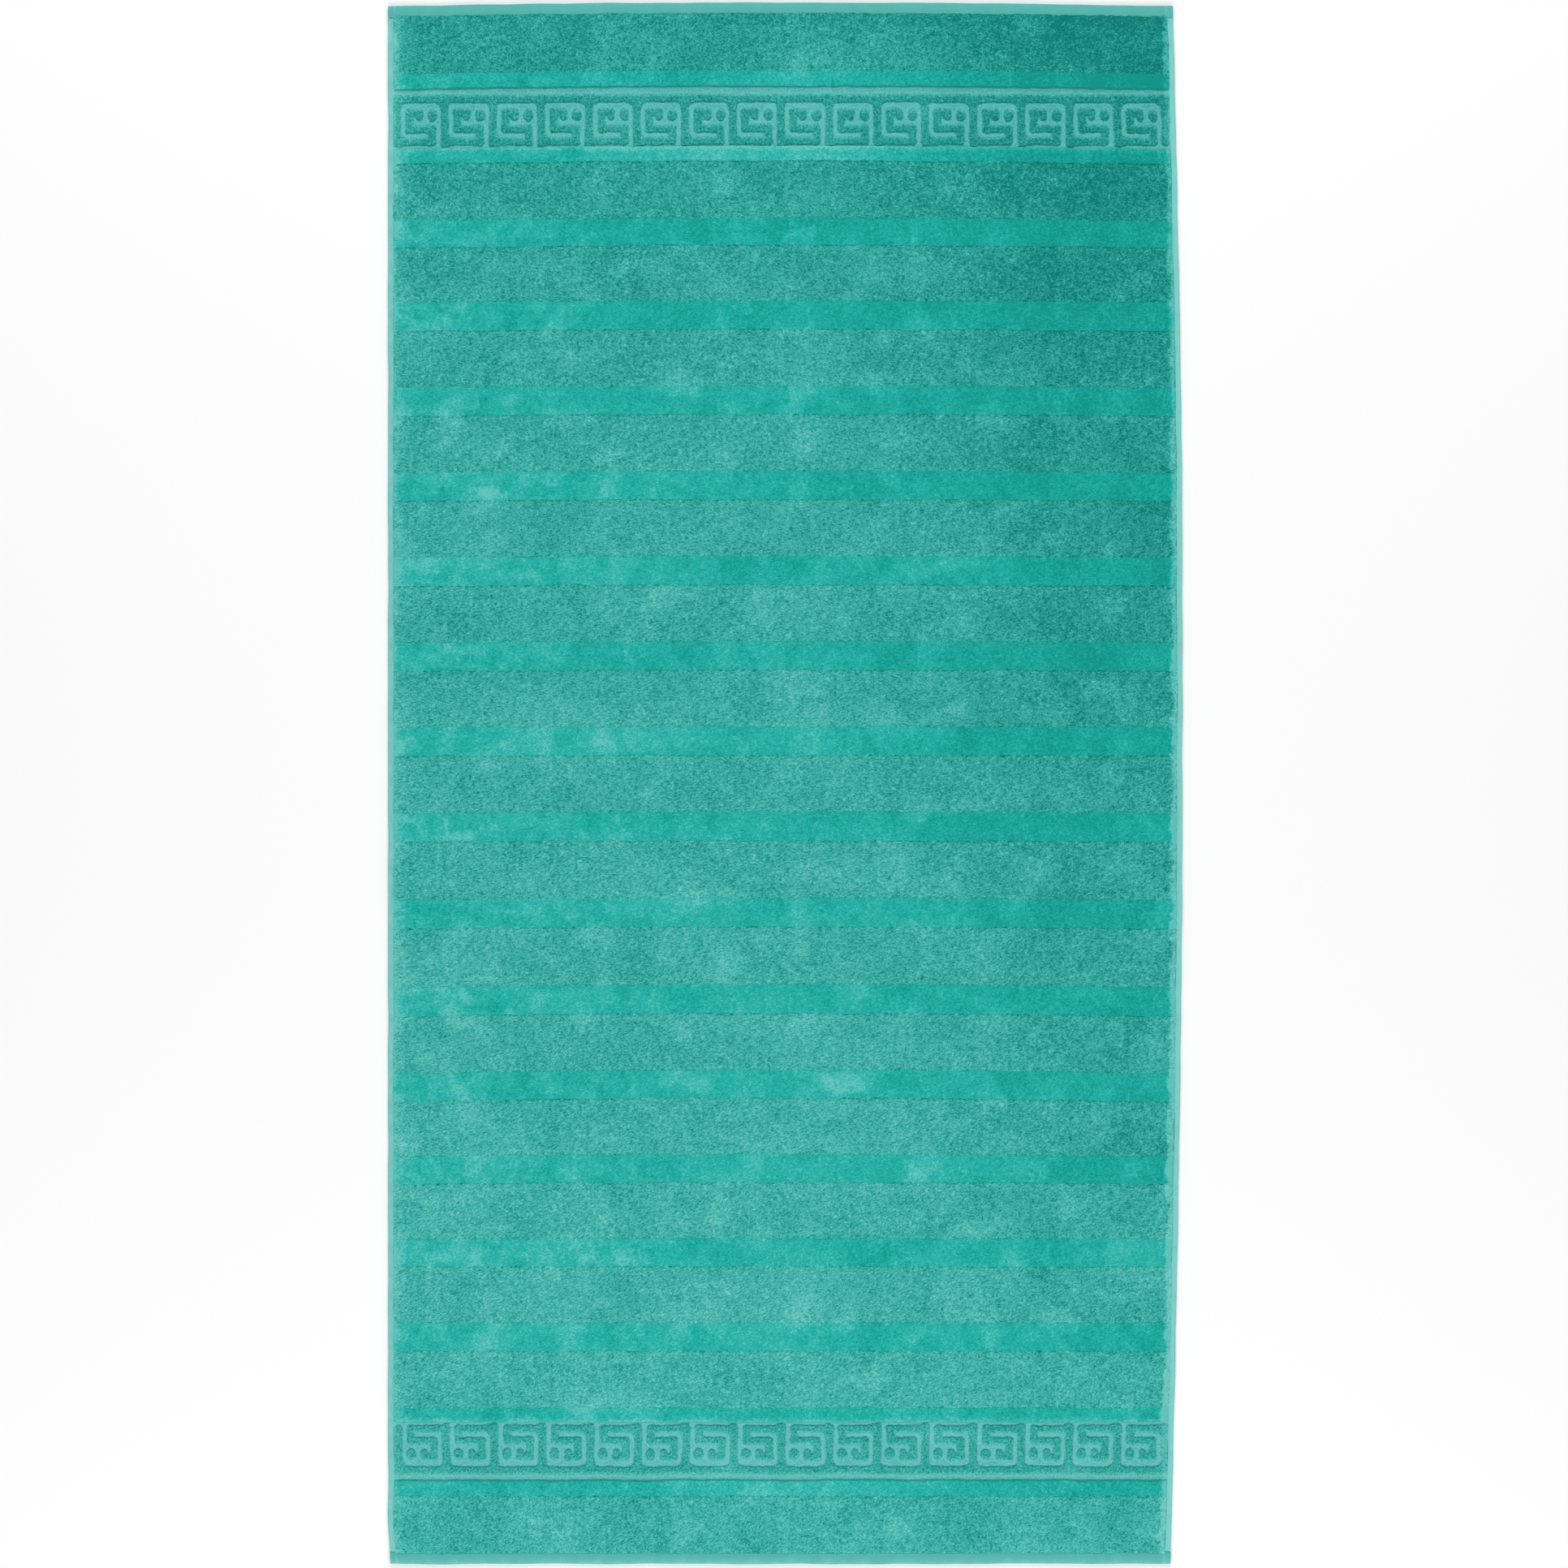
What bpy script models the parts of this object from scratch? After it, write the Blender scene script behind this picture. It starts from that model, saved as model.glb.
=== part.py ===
"""A terry bath towel laid flat: ground cloth, back loops, face pile in bands, key borders, hems and threads.

The towel lies with its length along Y and its face up. The origin is the middle of the surface it lies on.
"""

import math

import bmesh
import bpy

# Driving dimensions, in metres.
LENGTH = 1.400  # from the upper end's edge to the lower end's edge
WIDTH = 0.712  # at the widest place
SIDE_HEM = 0.0058
END_HEM = 0.0107
COARSE_BAND = 0.0509
COARSE_BANDS = 15  # between the two borders
BORDER = 0.0524
VELOUR_OUTER = 0.0138  # the part-width velour band on a border's outer side
VELOUR_INNER = 0.0126  # the part-width velour band on a border's inner side

# The cloth's layers, as heights above the surface.
BACK_PILE_TOP = 0.0020
GROUND_FOOT = 0.0023
GROUND_TOP = 0.0028
FACE_FOOT = 0.0031
COARSE_TOP = 0.0055
VELOUR_TOP = 0.0052
BORDER_WEAVE_TOP = 0.0036
KEY_PILE_TOP = 0.0050

# Clearance between neighbours and between a hem's layers, and the sewing threads.
GAP = 0.0003
FOLD_GAP = 0.00035
NEEDLE_THREAD = 0.0004
BOBBIN_THREAD = 0.00024
NEEDLE_THREAD_Z = GROUND_TOP + GAP + NEEDLE_THREAD / 2
BOBBIN_THREAD_Z = 0.00015
SEAM_INSET = 0.0015  # from a hem's inner edge to its seam
THREADS = (("needle", NEEDLE_THREAD, NEEDLE_THREAD_Z), ("bobbin", BOBBIN_THREAD, BOBBIN_THREAD_Z))

# How the towel lies: its right side bows out and its wefts droop at the sides near the upper end.
WIDEST_Y = 0.09
SIDE_BOW_UPPER = 0.0115
SIDE_BOW_LOWER = 0.0086
WEFT_BOW = 0.0033
WEFT_STRAIGHT_Y = -0.25

# The key border's figure, measured from its outer edge, and one unit of it from the unit's left edge.
KEY_UNITS = 16
KEY_PITCH = 0.0434
FIRST_KEY_X = -0.3514
STRIP = (0.0048, 0.0121)
POST = 0.0066
SPIRAL = (0.0109, 0.0387)
STROKE = 0.0073
HOOK_V = 0.0169
HOOK_TIP_U = 0.0272
MIDDLE_BAR_V = 0.0302
BOTTOM_BAR_V = 0.0420
KEY_FOOT_V = 0.0492
DOT = (0.0357, 0.0224)
DOT_RADIUS = 0.0043
DOT_SIDES = 8

HALF_LENGTH = LENGTH / 2
HALF_WIDTH = WIDTH / 2
PILE_HALF_WIDTH = HALF_WIDTH - SIDE_HEM - GAP
VELOUR_BANDS = COARSE_BANDS - 1
ENDS = END_HEM + COARSE_BAND + VELOUR_OUTER + BORDER + VELOUR_INNER
VELOUR_BAND = (LENGTH - 2 * ENDS - COARSE_BANDS * COARSE_BAND) / VELOUR_BANDS


def lay(x, y):
    """Where a point of the straight cloth comes to lie."""
    bow = SIDE_BOW_UPPER if y > WIDEST_Y else SIDE_BOW_LOWER
    width = WIDTH - bow * ((y - WIDEST_Y) / HALF_LENGTH) ** 2
    droop = max(0.0, (y - WEFT_STRAIGHT_Y) / (HALF_LENGTH - WEFT_STRAIGHT_Y))
    laid_x = (x + HALF_WIDTH) * width / WIDTH - HALF_WIDTH
    laid_y = y - WEFT_BOW * droop * (x / HALF_WIDTH) ** 2
    return laid_x, laid_y


def finish(name, colour, roughness):
    """A Principled material from a colour given as 0 to 255 screen values."""
    linear = [((c / 255 + 0.055) / 1.055) ** 2.4 for c in colour]
    material = bpy.data.materials.new(name)
    material.use_nodes = True
    shader = material.node_tree.nodes["Principled BSDF"]
    shader.inputs["Base Color"].default_value = (*linear, 1.0)
    shader.inputs["Roughness"].default_value = roughness
    shader.inputs["Metallic"].default_value = 0.0
    return material


def add_object(name, mesh_data, material):
    bmesh.ops.recalc_face_normals(mesh_data, faces=mesh_data.faces)
    mesh = bpy.data.meshes.new(name)
    mesh_data.to_mesh(mesh)
    mesh_data.free()
    mesh.materials.append(material)
    made = bpy.data.objects.new(name, mesh)
    bpy.context.scene.collection.objects.link(made)
    return made


def sweep(name, profile, stations, place, material):
    """A closed solid: the profile repeated at each station and capped at both ends."""
    bm = bmesh.new()
    rings = [[bm.verts.new(place(station, point)) for point in profile] for station in stations]
    count = len(profile)
    for here, after in zip(rings, rings[1:]):
        for i in range(count):
            j = (i + 1) % count
            bm.faces.new((here[i], here[j], after[j], after[i]))
    bm.faces.new(rings[0])
    bm.faces.new(list(reversed(rings[-1])))
    mesh = add_object(name, bm, material).data
    mesh.shade_smooth()
    mesh.set_sharp_from_angle(angle=math.radians(40))


def slab(name, x_range, y_range, z_range, cells, material):
    """A flat layer of cloth or pile, cut into cells so that its edges follow the towel's lie."""
    columns, rows = cells
    low, high = z_range
    bm = bmesh.new()
    grid = []
    for row in range(rows + 1):
        y = y_range[0] + (y_range[1] - y_range[0]) * row / rows
        line = []
        for column in range(columns + 1):
            x = x_range[0] + (x_range[1] - x_range[0]) * column / columns
            line.append(bm.verts.new((*lay(x, y), low)))
        grid.append(line)
    for lower, upper in zip(grid, grid[1:]):
        for i in range(columns):
            bm.faces.new((lower[i], lower[i + 1], upper[i + 1], upper[i]))
    raised = bmesh.ops.extrude_face_region(bm, geom=bm.faces[:])["geom"]
    for vert in raised:
        if isinstance(vert, bmesh.types.BMVert):
            vert.co.z = high
    return add_object(name, bm, material)


def arc(centre, radius, start, end, steps):
    """Points and outward normals along an arc, its angles in degrees."""
    found = []
    for step in range(steps + 1):
        angle = math.radians(start + (end - start) * step / steps)
        normal = (math.cos(angle), math.sin(angle))
        point = (centre[0] + radius * normal[0], centre[1] + radius * normal[1])
        found.append((point, normal))
    return found


def double_fold(width):
    """The outline of cloth folded twice to the back: along the face, round the edge, back and tucked in."""
    thickness = GROUND_TOP - GROUND_FOOT
    top = (GROUND_TOP + GROUND_FOOT) / 2
    layer_step = thickness + FOLD_GAP
    outer_radius = layer_step
    inner_radius = layer_step / 2
    edge_centre = (width - outer_radius - thickness / 2, top - layer_step)
    tuck_centre = (inner_radius + thickness / 2, top - 1.5 * layer_step)
    line = [((0.0, top), (0.0, 1.0))]
    line += arc(edge_centre, outer_radius, 90, -90, 8)
    line += arc(tuck_centre, inner_radius, 270, 90, 5)
    line.append(((edge_centre[0] + outer_radius / 2, edge_centre[1]), (0.0, 1.0)))
    half = thickness / 2
    outside = [(point[0] + half * normal[0], point[1] + half * normal[1]) for point, normal in line]
    inside = [(point[0] - half * normal[0], point[1] - half * normal[1]) for point, normal in line]
    return outside + inside[::-1]


def thread_section(diameter, height):
    """A six-sided thread's outline, across the hem from its inner edge and up from the surface."""
    angles = [math.radians(60 * i) for i in range(6)]
    radius = diameter / 2
    return [(SEAM_INSET + radius * math.cos(angle), height + radius * math.sin(angle)) for angle in angles]


def spread(low, high, steps):
    return [low + (high - low) * i / steps for i in range(steps + 1)]


def side_hem(side, material, thread_material):
    """A long edge's hem and its two sewing threads. side is -1 on the left and 1 on the right."""
    word = "left" if side < 0 else "right"
    end = HALF_LENGTH - END_HEM - GAP
    inner = HALF_WIDTH - SIDE_HEM
    stations = spread(-end, end, 10)

    def place(y, point):
        return (*lay(side * (inner + point[0]), y), point[1])

    sweep(f"side_hem_{word}", double_fold(SIDE_HEM), stations, place, material)
    for kind, diameter, height in THREADS:
        section = thread_section(diameter, height)
        sweep(f"{kind}_thread_{word}", section, stations, place, thread_material)


def end_hem(end, material, thread_material):
    """A short edge's hem and its two sewing threads. end is 1 at the upper end and -1 at the lower end."""
    word = "upper" if end > 0 else "lower"
    inner = HALF_LENGTH - END_HEM

    def place(x, point):
        return (*lay(x, end * (inner + point[0])), point[1])

    sweep(f"end_hem_{word}", double_fold(END_HEM), spread(-HALF_WIDTH, HALF_WIDTH, 8), place, material)
    stations = spread(-PILE_HALF_WIDTH, PILE_HALF_WIDTH, 8)
    for kind, diameter, height in THREADS:
        section = thread_section(diameter, height)
        sweep(f"{kind}_thread_{word}", section, stations, place, thread_material)


def key_outline():
    """The raised figure's outline: the strip's outer edge, then back under it down and round each unit."""
    left = -PILE_HALF_WIDTH + GAP
    right = PILE_HALF_WIDTH - GAP
    unit_starts = [FIRST_KEY_X + KEY_PITCH * i for i in range(KEY_UNITS + 1)]
    outline = [(left, STRIP[0])]
    outline += [(x, STRIP[0]) for x in unit_starts[1:]]
    last = unit_starts[-1]
    outline += [(right, STRIP[0]), (right, KEY_FOOT_V), (last, KEY_FOOT_V), (last, STRIP[1])]
    for start in reversed(unit_starts[:-1]):
        post = start + POST
        near = start + SPIRAL[0]
        far = start + SPIRAL[1]
        tip = start + HOOK_TIP_U
        outline += [
            (post, STRIP[1]),
            (post, BOTTOM_BAR_V),
            (far - STROKE, BOTTOM_BAR_V),
            (far - STROKE, MIDDLE_BAR_V + STROKE),
            (near, MIDDLE_BAR_V + STROKE),
            (near, HOOK_V),
            (tip, HOOK_V),
            (tip, HOOK_V + STROKE),
            (near + STROKE, HOOK_V + STROKE),
            (near + STROKE, MIDDLE_BAR_V),
            (far, MIDDLE_BAR_V),
            (far, KEY_FOOT_V),
            (max(start, left), KEY_FOOT_V),
        ]
        if start > left:
            outline.append((start, STRIP[1]))
    return outline, unit_starts[:-1]


def prism(bm, points, low, high):
    bottom = [bm.verts.new((*point, low)) for point in points]
    top = [bm.verts.new((*point, high)) for point in points]
    count = len(points)
    bm.faces.new(bottom)
    bm.faces.new(list(reversed(top)))
    for i in range(count):
        j = (i + 1) % count
        bm.faces.new((bottom[i], top[i], top[j], bottom[j]))


def key_border(end, material):
    """A border: a flat woven strip and the pile figure that stands on it, joined into one body."""
    word = "upper" if end > 0 else "lower"
    outer = HALF_LENGTH - END_HEM - COARSE_BAND - VELOUR_OUTER
    y_range = sorted((end * (outer - GAP / 2), end * (outer - BORDER + GAP / 2)))
    plate = slab(
        f"key_border_{word}",
        (-PILE_HALF_WIDTH, PILE_HALF_WIDTH),
        y_range,
        (FACE_FOOT, BORDER_WEAVE_TOP),
        (KEY_UNITS, 1),
        material,
    )

    def place(u, v):
        return lay(end * u, end * (outer - v))

    outline, unit_starts = key_outline()
    sunk = (FACE_FOOT + BORDER_WEAVE_TOP) / 2
    bm = bmesh.new()
    prism(bm, [place(*point) for point in outline], sunk, KEY_PILE_TOP)
    for start in unit_starts:
        ring = []
        for i in range(DOT_SIDES):
            angle = 2 * math.pi * (i + 0.5) / DOT_SIDES
            ring.append(
                place(start + DOT[0] + DOT_RADIUS * math.cos(angle), DOT[1] + DOT_RADIUS * math.sin(angle))
            )
        prism(bm, ring, sunk, KEY_PILE_TOP)
    figure = add_object(f"key_figure_{word}", bm, material)
    figure.hide_render = True
    figure.display_type = "WIRE"
    union = plate.modifiers.new("figure", "BOOLEAN")
    union.operation = "UNION"
    union.solver = "EXACT"
    union.object = figure


def pile_bands(coarse_material, velour_material):
    """The coarse and velour bands from the upper end to the lower end, numbered in that order."""
    end_group = [("coarse", COARSE_BAND), ("velour", VELOUR_OUTER)]
    end_group += [("border", BORDER), ("velour", VELOUR_INNER)]
    middle = [("coarse", COARSE_BAND), ("velour", VELOUR_BAND)] * VELOUR_BANDS + [("coarse", COARSE_BAND)]
    widths = end_group + middle + end_group[::-1]
    numbers = {"coarse": 0, "velour": 0}
    kinds = {
        "coarse": ("coarse_pile_band", COARSE_TOP, coarse_material),
        "velour": ("velour_band", VELOUR_TOP, velour_material),
    }
    y = HALF_LENGTH - END_HEM
    for kind, width in widths:
        if kind != "border":
            numbers[kind] += 1
            name, top, material = kinds[kind]
            slab(
                f"{name}_{numbers[kind]:02d}",
                (-PILE_HALF_WIDTH, PILE_HALF_WIDTH),
                (y - width + GAP / 2, y - GAP / 2),
                (FACE_FOOT, top),
                (8, 1),
                material,
            )
        y -= width


for stale in list(bpy.data.objects):
    bpy.data.objects.remove(stale)

coarse_pile = finish("coarse_pile", (46, 160, 150), 0.95)
velour = finish("velour", (36, 171, 161), 0.9)
border_weave = finish("border_weave", (70, 172, 164), 0.9)
hem_weave = finish("hem_weave", (90, 180, 173), 0.85)
ground_weave = finish("ground_weave", (80, 176, 168), 0.9)
back_pile = finish("back_pile", (52, 164, 154), 0.95)
sewing_thread = finish("sewing_thread", (96, 186, 178), 0.6)

# The ground cloth, and the loops on its back that the towel lies on.
CLOTH_HALF_LENGTH = HALF_LENGTH - END_HEM - GAP
CLOTH_X = (-PILE_HALF_WIDTH, PILE_HALF_WIDTH)
CLOTH_Y = (-CLOTH_HALF_LENGTH, CLOTH_HALF_LENGTH)
slab("ground_cloth", CLOTH_X, CLOTH_Y, (GROUND_FOOT, GROUND_TOP), (8, 12), ground_weave)
slab("back_loop_pile", CLOTH_X, CLOTH_Y, (0.0, BACK_PILE_TOP), (8, 12), back_pile)

# The face pile and the borders.
pile_bands(coarse_pile, velour)
key_border(1, border_weave)
key_border(-1, border_weave)

# The hems and their seams.
for which in (-1, 1):
    side_hem(which, hem_weave, sewing_thread)
    end_hem(which, hem_weave, sewing_thread)
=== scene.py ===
"""A jacquard terry bath towel laid flat with its face up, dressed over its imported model."""

import math

import bpy
import numpy as np
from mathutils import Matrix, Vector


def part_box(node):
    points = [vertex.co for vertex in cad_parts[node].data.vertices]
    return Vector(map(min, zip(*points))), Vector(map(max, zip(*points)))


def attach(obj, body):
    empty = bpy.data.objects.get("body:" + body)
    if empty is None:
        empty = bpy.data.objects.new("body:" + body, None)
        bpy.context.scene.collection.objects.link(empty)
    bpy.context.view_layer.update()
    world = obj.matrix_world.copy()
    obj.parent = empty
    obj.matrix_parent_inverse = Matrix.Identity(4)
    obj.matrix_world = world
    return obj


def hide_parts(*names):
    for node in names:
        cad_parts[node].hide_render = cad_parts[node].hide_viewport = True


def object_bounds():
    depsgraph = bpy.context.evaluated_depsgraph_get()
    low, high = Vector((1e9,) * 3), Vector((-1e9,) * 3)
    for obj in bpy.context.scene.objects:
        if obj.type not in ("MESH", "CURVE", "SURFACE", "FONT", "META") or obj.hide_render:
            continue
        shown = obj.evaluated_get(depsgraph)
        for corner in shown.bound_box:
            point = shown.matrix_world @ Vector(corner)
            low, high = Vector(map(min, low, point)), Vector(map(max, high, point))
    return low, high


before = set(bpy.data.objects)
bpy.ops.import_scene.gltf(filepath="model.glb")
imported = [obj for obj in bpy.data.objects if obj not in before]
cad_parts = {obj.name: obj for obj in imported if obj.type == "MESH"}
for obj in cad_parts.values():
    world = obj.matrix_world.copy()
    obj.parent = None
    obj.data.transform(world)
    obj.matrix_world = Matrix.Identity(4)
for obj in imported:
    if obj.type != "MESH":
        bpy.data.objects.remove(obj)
cad_low, cad_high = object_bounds()


# The ground cloth: the woven sheet of cotton warp and weft that binds every pile yarn in. It is woven as
# one length with the pile and the borders, and it is held flat by the pile on both of its sides.

half_width = -cad_low.x
half_length = cad_high.y

WIDEST_Y = 0.09
SIDE_BOW_UPPER = 0.0115
SIDE_BOW_LOWER = 0.0086
WEFT_BOW = 0.0033
WEFT_STRAIGHT_Y = -0.25
RIPPLE = 0.0006
RIPPLE_SIZE = 0.038
COCKLE = 0.0009
COCKLE_SIZE = 0.085
CORNER_PULL = 0.0018
CORNER_PULL_FROM = (0.3, 0.65)

# Where wefts lie slack: the place along y, the reach, the slack, and the share more of it at the sides.
WEFT_SLACKS = ((0.53, 0.05, 0.0026, 0.3), (-0.24, 0.14, 0.0024, 1.6))

HILLS = 256
SEED_SHIFT = (17.3, 5.9)
SEED_COLUMNS = 37
hill_table = np.random.default_rng(4).random((HILLS, HILLS)) * 2 * math.pi


def ruffle(x, y, size, seed):
    """Smooth hills and hollows from -1 to 1, each about one size across, the same on every run."""
    across = x / size + SEED_SHIFT[0] * seed
    along = y / size + SEED_SHIFT[1] * seed
    column = np.floor(across).astype(int)
    row = np.floor(along).astype(int)
    across = across - column
    along = along - row

    def pull(right, up):
        angle = hill_table[(row + up) % HILLS, (column + right + SEED_COLUMNS * seed) % HILLS]
        return np.cos(angle) * (across - right) + np.sin(angle) * (along - up)

    ease_x = across * across * (3 - 2 * across)
    ease_y = along * along * (3 - 2 * along)
    low = pull(0, 0) + ease_x * (pull(1, 0) - pull(0, 0))
    high = pull(0, 1) + ease_x * (pull(1, 1) - pull(0, 1))
    return 1.5 * (low + ease_y * (high - low))


def ramp(value, start, end):
    """0 before start, 1 after end, and an even curve between them."""
    share = np.clip((value - start) / (end - start), 0.0, 1.0)
    return share * share * (3 - 2 * share)


def bell(value, middle, reach):
    """1 at the middle, falling off evenly on both sides of it."""
    return np.exp(-(((value - middle) / reach) ** 2))


def lie(x, y):
    """Where a point of the straight cloth comes to lie: bowed sides, drooping wefts, and small ripples."""
    bow = np.where(y > WIDEST_Y, SIDE_BOW_UPPER, SIDE_BOW_LOWER)
    narrowing = 1 - bow * ((y - WIDEST_Y) / half_length) ** 2 / (2 * half_width)
    droop = np.maximum(0.0, (y - WEFT_STRAIGHT_Y) / (half_length - WEFT_STRAIGHT_Y))
    laid_x = (x + half_width) * narrowing - half_width
    near_corner = ramp(-y, CORNER_PULL_FROM[1], half_length) * ramp(-x, CORNER_PULL_FROM[0], half_width)
    laid_x = laid_x + CORNER_PULL * near_corner
    laid_y = y - WEFT_BOW * droop * (x / half_width) ** 2
    for middle, reach, slack, more_at_sides in WEFT_SLACKS:
        slack_here = slack * bell(y, middle, reach)
        laid_y = laid_y - slack_here * (1 + more_at_sides * (x / half_width) ** 2)
    return (
        laid_x + RIPPLE * ruffle(x, y, RIPPLE_SIZE, 1),
        laid_y + RIPPLE * ruffle(x, y, RIPPLE_SIZE, 2),
    )


def cockle(x, y):
    """How far the laid cloth lifts off the surface where it isn't quite flat."""
    return COCKLE * np.maximum(0.0, ruffle(x, y, COCKLE_SIZE, 3))


CREASE = math.radians(62)


def make_piece(name, points, faces, material, marks):
    """A mesh object from points, groups of faces with equal corner counts, and named values per point."""
    mesh = bpy.data.meshes.new(name)
    corners = np.concatenate([group.ravel() for group in faces])
    counts = np.concatenate([np.full(len(group), group.shape[1]) for group in faces])
    mesh.vertices.add(len(points))
    mesh.vertices.foreach_set("co", np.ascontiguousarray(points, dtype=np.float32).ravel())
    mesh.loops.add(len(corners))
    mesh.loops.foreach_set("vertex_index", corners.astype(np.int32))
    mesh.polygons.add(len(counts))
    mesh.polygons.foreach_set("loop_start", (np.cumsum(counts) - counts).astype(np.int32))
    mesh.update(calc_edges=True)
    mesh.validate()
    mesh.shade_smooth()
    mesh.set_sharp_from_angle(angle=CREASE)
    for mark, values in marks.items():
        layer = mesh.attributes.new(mark, "FLOAT", "POINT")
        layer.data.foreach_set("value", values.ravel().astype(np.float32))
    mesh.materials.append(material)
    piece = bpy.data.objects.new(name, mesh)
    bpy.context.scene.collection.objects.link(piece)
    return piece


def patchwork(corners):
    """Four-cornered faces over a table of point numbers, upward where rows run up and columns across."""
    faces = np.stack((corners[:-1, :-1], corners[:-1, 1:], corners[1:, 1:], corners[1:, :-1]), axis=-1)
    return faces.reshape(-1, 4)


def make_layer(name, x, y, top, foot, material, marks, plain_foot=True):
    """A closed layer of cloth or pile over a grid of straight-cloth places, rows upward and columns across.

    top and foot are heights for every place. A plain foot keeps only its first and last row, for a layer
    whose underside lies on the ground cloth.
    """
    rows, columns = x.shape
    lift = cockle(x, y)
    laid_x, laid_y = lie(x, y)
    foot_rows = [0, rows - 1] if plain_foot else list(range(rows))
    surface = np.stack((laid_x, laid_y, top + lift), axis=-1)
    underside = np.stack((laid_x, laid_y, foot + lift), axis=-1)[foot_rows]
    points = np.concatenate((surface.reshape(-1, 3), underside.reshape(-1, 3)))
    above = np.arange(rows * columns).reshape(rows, columns)
    below = rows * columns + np.arange(len(foot_rows) * columns).reshape(-1, columns)
    faces = [
        patchwork(above),
        patchwork(below[::-1]),
        patchwork(np.stack((below[0], above[0]))),
        patchwork(np.stack((above[-1], below[-1]))),
        np.concatenate((above[:, 0], below[::-1, 0]))[None, :],
        np.concatenate((above[::-1, -1], below[:, -1]))[None, :],
    ]
    values = {}
    for mark, surface_values in marks.items():
        values[mark] = np.concatenate((surface_values.ravel(), surface_values[foot_rows].ravel()))
    return make_piece(name, points, faces, material, values)


def cloth_grid(x_range, y_range, cell):
    """Straight-cloth places at an even spacing of about one cell, edges included."""
    columns = int(round((x_range[1] - x_range[0]) / cell[0])) + 1
    rows = int(round((y_range[1] - y_range[0]) / cell[1])) + 1
    return np.meshgrid(np.linspace(*x_range, columns), np.linspace(*y_range, rows))


def dye(red, green, blue):
    """A dyed colour as screen values from 0 to 255, turned into the shader's linear ones."""
    return (*[((value / 255 + 0.055) / 1.055) ** 2.4 for value in (red, green, blue)], 1.0)


def wire(nodes, kind, **settings):
    """A shader node with its properties set."""
    node = nodes.new(kind)
    for setting, value in settings.items():
        setattr(node, setting, value)
    return node


def run_dyes(colour, shades):
    """Spreads the dyes evenly along a colour ramp, from the deepest to the palest."""
    stops = colour.color_ramp.elements
    stops[0].color = dye(*shades[0])
    stops[1].color = dye(*shades[-1])
    for index, shade in enumerate(shades[1:-1], start=1):
        stops.new(index / (len(shades) - 1)).color = dye(*shade)


def cotton(name, shades, grain, mottle_and_dip_shade, relief, sheen):
    """Cotton yarn whose colour runs from deep to pale with the shade that its mesh carries.

    shades are dye values from the deepest to the palest. grain is the fibre clumps' size in metres,
    mottle is how much they vary the shade, and relief is how far they stand up, in metres. Where the
    same clumps make the bump, the shade deepens in their dips and pales on their rises: painted shade.
    """
    material = bpy.data.materials.new(name)
    material.use_nodes = True
    nodes = material.node_tree.nodes
    links = material.node_tree.links
    shader = nodes["Principled BSDF"]
    shader.inputs["Roughness"].default_value = 0.95
    shader.inputs["Specular IOR Level"].default_value = 0.08
    shader.inputs["Sheen Weight"].default_value = sheen
    shader.inputs["Sheen Roughness"].default_value = 0.45
    shader.inputs["Sheen Tint"].default_value = dye(*shades[-1])

    place = wire(nodes, "ShaderNodeTexCoord")
    drawn = wire(nodes, "ShaderNodeMapping")
    drawn.inputs["Scale"].default_value = (0.7, 1.0, 1.0)
    links.new(place.outputs["Object"], drawn.inputs["Vector"])
    fibres = wire(nodes, "ShaderNodeTexNoise")
    fibres.inputs["Scale"].default_value = 1 / grain
    fibres.inputs["Detail"].default_value = 3.0
    fibres.inputs["Roughness"].default_value = 0.6
    links.new(drawn.outputs["Vector"], fibres.inputs["Vector"])

    shade = wire(nodes, "ShaderNodeAttribute", attribute_name="shade")
    centred = wire(nodes, "ShaderNodeMath", operation="SUBTRACT")
    centred.inputs[1].default_value = 0.5
    links.new(fibres.outputs["Fac"], centred.inputs[0])
    # Painted shade: the fibre noise that makes the bump also deepens the colour in its dips.
    mottled_and_dip_shaded = wire(nodes, "ShaderNodeMath", operation="MULTIPLY_ADD")
    mottled_and_dip_shaded.inputs[1].default_value = mottle_and_dip_shade
    links.new(centred.outputs[0], mottled_and_dip_shaded.inputs[0])
    links.new(shade.outputs["Fac"], mottled_and_dip_shaded.inputs[2])

    colour = wire(nodes, "ShaderNodeValToRGB")
    run_dyes(colour, shades)
    links.new(mottled_and_dip_shaded.outputs[0], colour.inputs["Fac"])
    links.new(colour.outputs["Color"], shader.inputs["Base Color"])

    bump = wire(nodes, "ShaderNodeBump")
    bump.inputs["Strength"].default_value = 1.0
    bump.inputs["Distance"].default_value = relief
    links.new(fibres.outputs["Fac"], bump.inputs["Height"])
    links.new(bump.outputs["Normal"], shader.inputs["Normal"])
    return material


def fit(piece, slot, *cad_nodes):
    """The piece rides with the towel and stands for its CAD nodes."""
    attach(piece, "root")
    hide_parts(*cad_nodes)
    return piece


PICK = 0.0007
WEAVE_RELIEF = 0.00012
WEAVE_SHADES = ((48, 150, 142), (74, 170, 164), (94, 184, 179), (110, 196, 191))


def crossings(nodes, links):
    """The height of flat weave, from 0 to 1: warp and weft crossing once in every pick."""
    wave_scale = math.pi / 10 / PICK  # a wave texture of scale 1 repeats every pi / 10
    threads = []
    for direction in ("X", "Y"):
        wave = wire(nodes, "ShaderNodeTexWave", bands_direction=direction)
        wave.inputs["Scale"].default_value = wave_scale
        wave.inputs["Distortion"].default_value = 0.6
        wave.inputs["Detail Scale"].default_value = 2.0
        links.new(nodes["Texture Coordinate"].outputs["Object"], wave.inputs["Vector"])
        threads.append(wave)
    crossing = wire(nodes, "ShaderNodeMath", operation="MULTIPLY")
    links.new(threads[0].outputs["Fac"], crossing.inputs[0])
    links.new(threads[1].outputs["Fac"], crossing.inputs[1])
    return crossing.outputs[0]


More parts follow.
